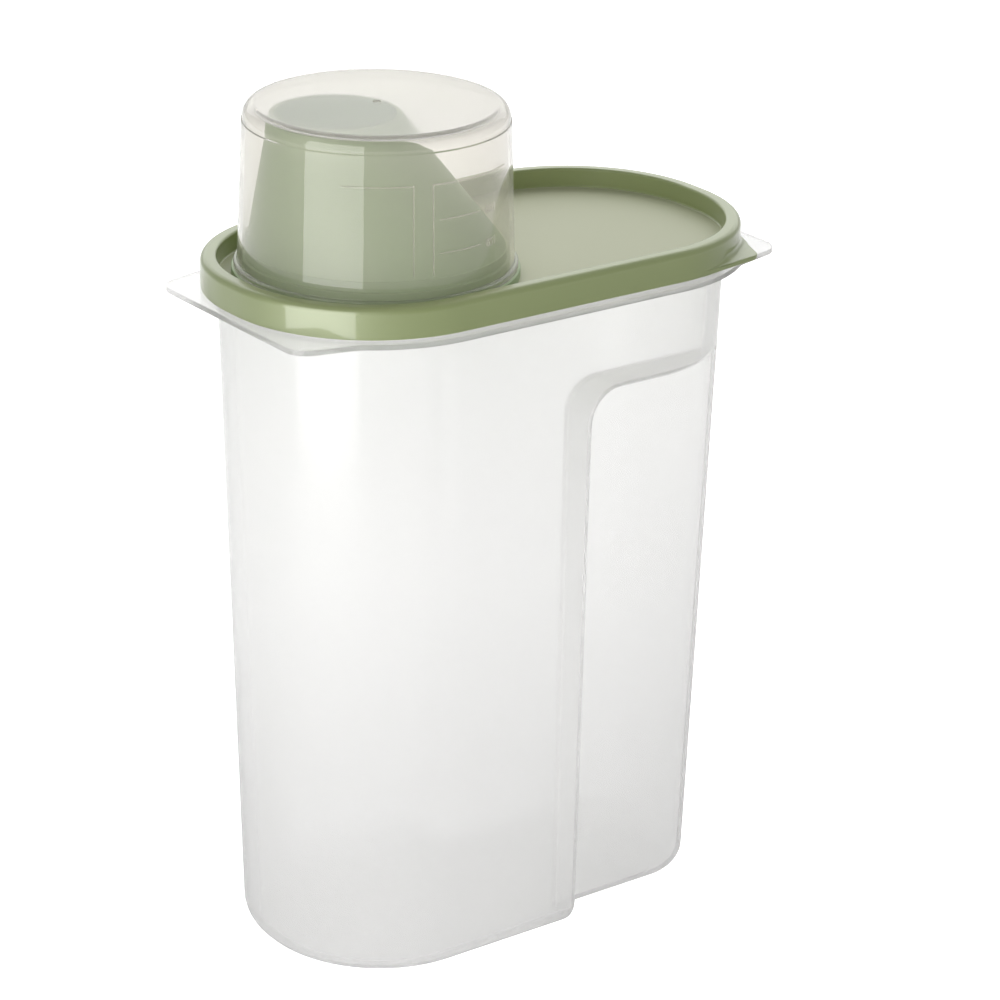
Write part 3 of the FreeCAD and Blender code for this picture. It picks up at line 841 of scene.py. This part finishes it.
def make_floor():
    """A plain white floor. It glows a little away from the object, for the plastics to catch: painted
    light that fades out towards a point at the object's front right and is halved under the object as a
    painted shadow.
    """
    form = bmesh.new()
    half = floor_size / 2
    corners = ((-half, -half), (half, -half), (half, half), (-half, half))
    form.faces.new([form.verts.new((x, y, -floor_drop)) for x, y in corners])
    mesh = bpy.data.meshes.new("floor")
    form.to_mesh(mesh)
    form.free()
    floor = bpy.data.objects.new("floor", mesh)
    scene.collection.objects.link(floor)
    material, nodes, links, shader, output = new_material("floor_white")
    shader.inputs["Base Color"].default_value = floor_colour
    shader.inputs["Roughness"].default_value = floor_roughness
    place = nodes.new("ShaderNodeTexCoord")
    away = nodes.new("ShaderNodeVectorMath")
    away.operation = "DISTANCE"
    away.inputs[1].default_value = floor_dark_centre
    links.new(place.outputs["Object"], away.inputs[0])
    glow = nodes.new("ShaderNodeMapRange")
    glow.inputs["From Min"].default_value = floor_dark_reach
    glow.inputs["From Max"].default_value = floor_light_reach
    glow.inputs["To Min"].default_value = floor_glow_near
    glow.inputs["To Max"].default_value = floor_glow_far
    links.new(away.outputs["Value"], glow.inputs["Value"])
    under = nodes.new("ShaderNodeVectorMath")
    under.operation = "LENGTH"
    links.new(place.outputs["Object"], under.inputs[0])
    shade = nodes.new("ShaderNodeMapRange")
    shade.inputs["From Min"].default_value = floor_shade_near
    shade.inputs["From Max"].default_value = floor_shade_far
    shade.inputs["To Min"].default_value = floor_shade_share
    links.new(under.outputs["Value"], shade.inputs["Value"])
    shaded = calculate(nodes, links, "MULTIPLY", glow.outputs["Result"], shade.outputs["Result"])
    path = nodes.new("ShaderNodeLightPath")
    seen = calculate(nodes, links, "MAXIMUM", path.outputs["Is Camera Ray"], shaded)
    white = nodes.new("ShaderNodeEmission")
    links.new(seen, white.inputs["Strength"])
    mix = nodes.new("ShaderNodeAddShader")
    links.new(shader.outputs["BSDF"], mix.inputs[0])
    links.new(white.outputs["Emission"], mix.inputs[1])
    links.new(mix.outputs["Shader"], output.inputs["Surface"])
    floor.data.materials.append(material)


def softbox(name, place, aim, width, height, brightness, lights=True, mirrored=True):
    """A soft rectangular light that faces a point, of one brightness whatever its size."""
    light = bpy.data.lights.new(name, "AREA")
    light.shape = "RECTANGLE"
    light.size = width
    light.size_y = height
    light.energy = brightness * math.pi * width * height
    lamp = bpy.data.objects.new(name, light)
    lamp.location = place
    lamp.rotation_euler = (Vector(aim) - Vector(place)).to_track_quat("-Z", "Y").to_euler()
    lamp.visible_camera = False
    lamp.visible_transmission = False
    lamp.visible_diffuse = lights
    lamp.visible_glossy = mirrored
    scene.collection.objects.link(lamp)


def make_world():
    """White surroundings, bright low at the back and dim overhead and behind the camera."""
    world = bpy.data.worlds.new("studio")
    world.use_nodes = True
    nodes, links = world.node_tree.nodes, world.node_tree.links
    place = nodes.new("ShaderNodeTexCoord")
    facing = nodes.new("ShaderNodeVectorMath")
    facing.operation = "DOT_PRODUCT"
    facing.inputs[1].default_value = bright_direction
    links.new(place.outputs["Generated"], facing.inputs[0])
    strength = nodes.new("ShaderNodeMapRange")
    strength.inputs["From Min"].default_value = -1.0
    strength.inputs["To Min"].default_value = dim_strength
    strength.inputs["To Max"].default_value = bright_strength
    links.new(facing.outputs["Value"], strength.inputs["Value"])
    nodes["Background"].inputs["Color"].default_value = (1, 1, 1, 1)
    links.new(strength.outputs["Result"], nodes["Background"].inputs["Strength"])
    scene.world = world


make_floor()
softbox("light_back", back_place, light_aim, back_width, back_height, back_brightness, mirrored=False)
softbox("light_sheen", sheen_place, light_aim, back_width, back_height, sheen_brightness, lights=False)
softbox("light_key", key_place, light_aim, key_side, key_side, key_brightness, mirrored=False)
softbox("light_strip", strip_place, strip_aim, strip_width, strip_height, strip_brightness, lights=False)
make_world()
scene.view_settings.view_transform = "Standard"

# Camera
# The photograph's viewpoint: a long lens from the front left, looking down at the lid. The picture
# is square, and its principal point is its centre, so the lens needs no shift.
view_turn = math.radians(36.64)
view_tilt = math.radians(21.79)
view_roll = math.radians(-1.04)
camera_place = Vector((-0.6243, -0.8539, 0.5545))
sensor_width = 36.0
focal_share = 3.75

forward = Vector((math.sin(view_turn), math.cos(view_turn), 0.0)) * math.cos(view_tilt)
forward.z = -math.sin(view_tilt)
level_right = Vector((math.cos(view_turn), -math.sin(view_turn), 0.0))
level_up = level_right.cross(forward)
right = level_right * math.cos(view_roll) - level_up * math.sin(view_roll)
up = right.cross(forward)
lens = bpy.data.cameras.new("camera")
lens.sensor_width = sensor_width
lens.lens = sensor_width * focal_share
camera = bpy.data.objects.new("camera", lens)
turn = Matrix((right, up, -forward)).transposed()
camera.matrix_world = Matrix.Translation(camera_place) @ turn.to_4x4()
scene.collection.objects.link(camera)
scene.camera = camera
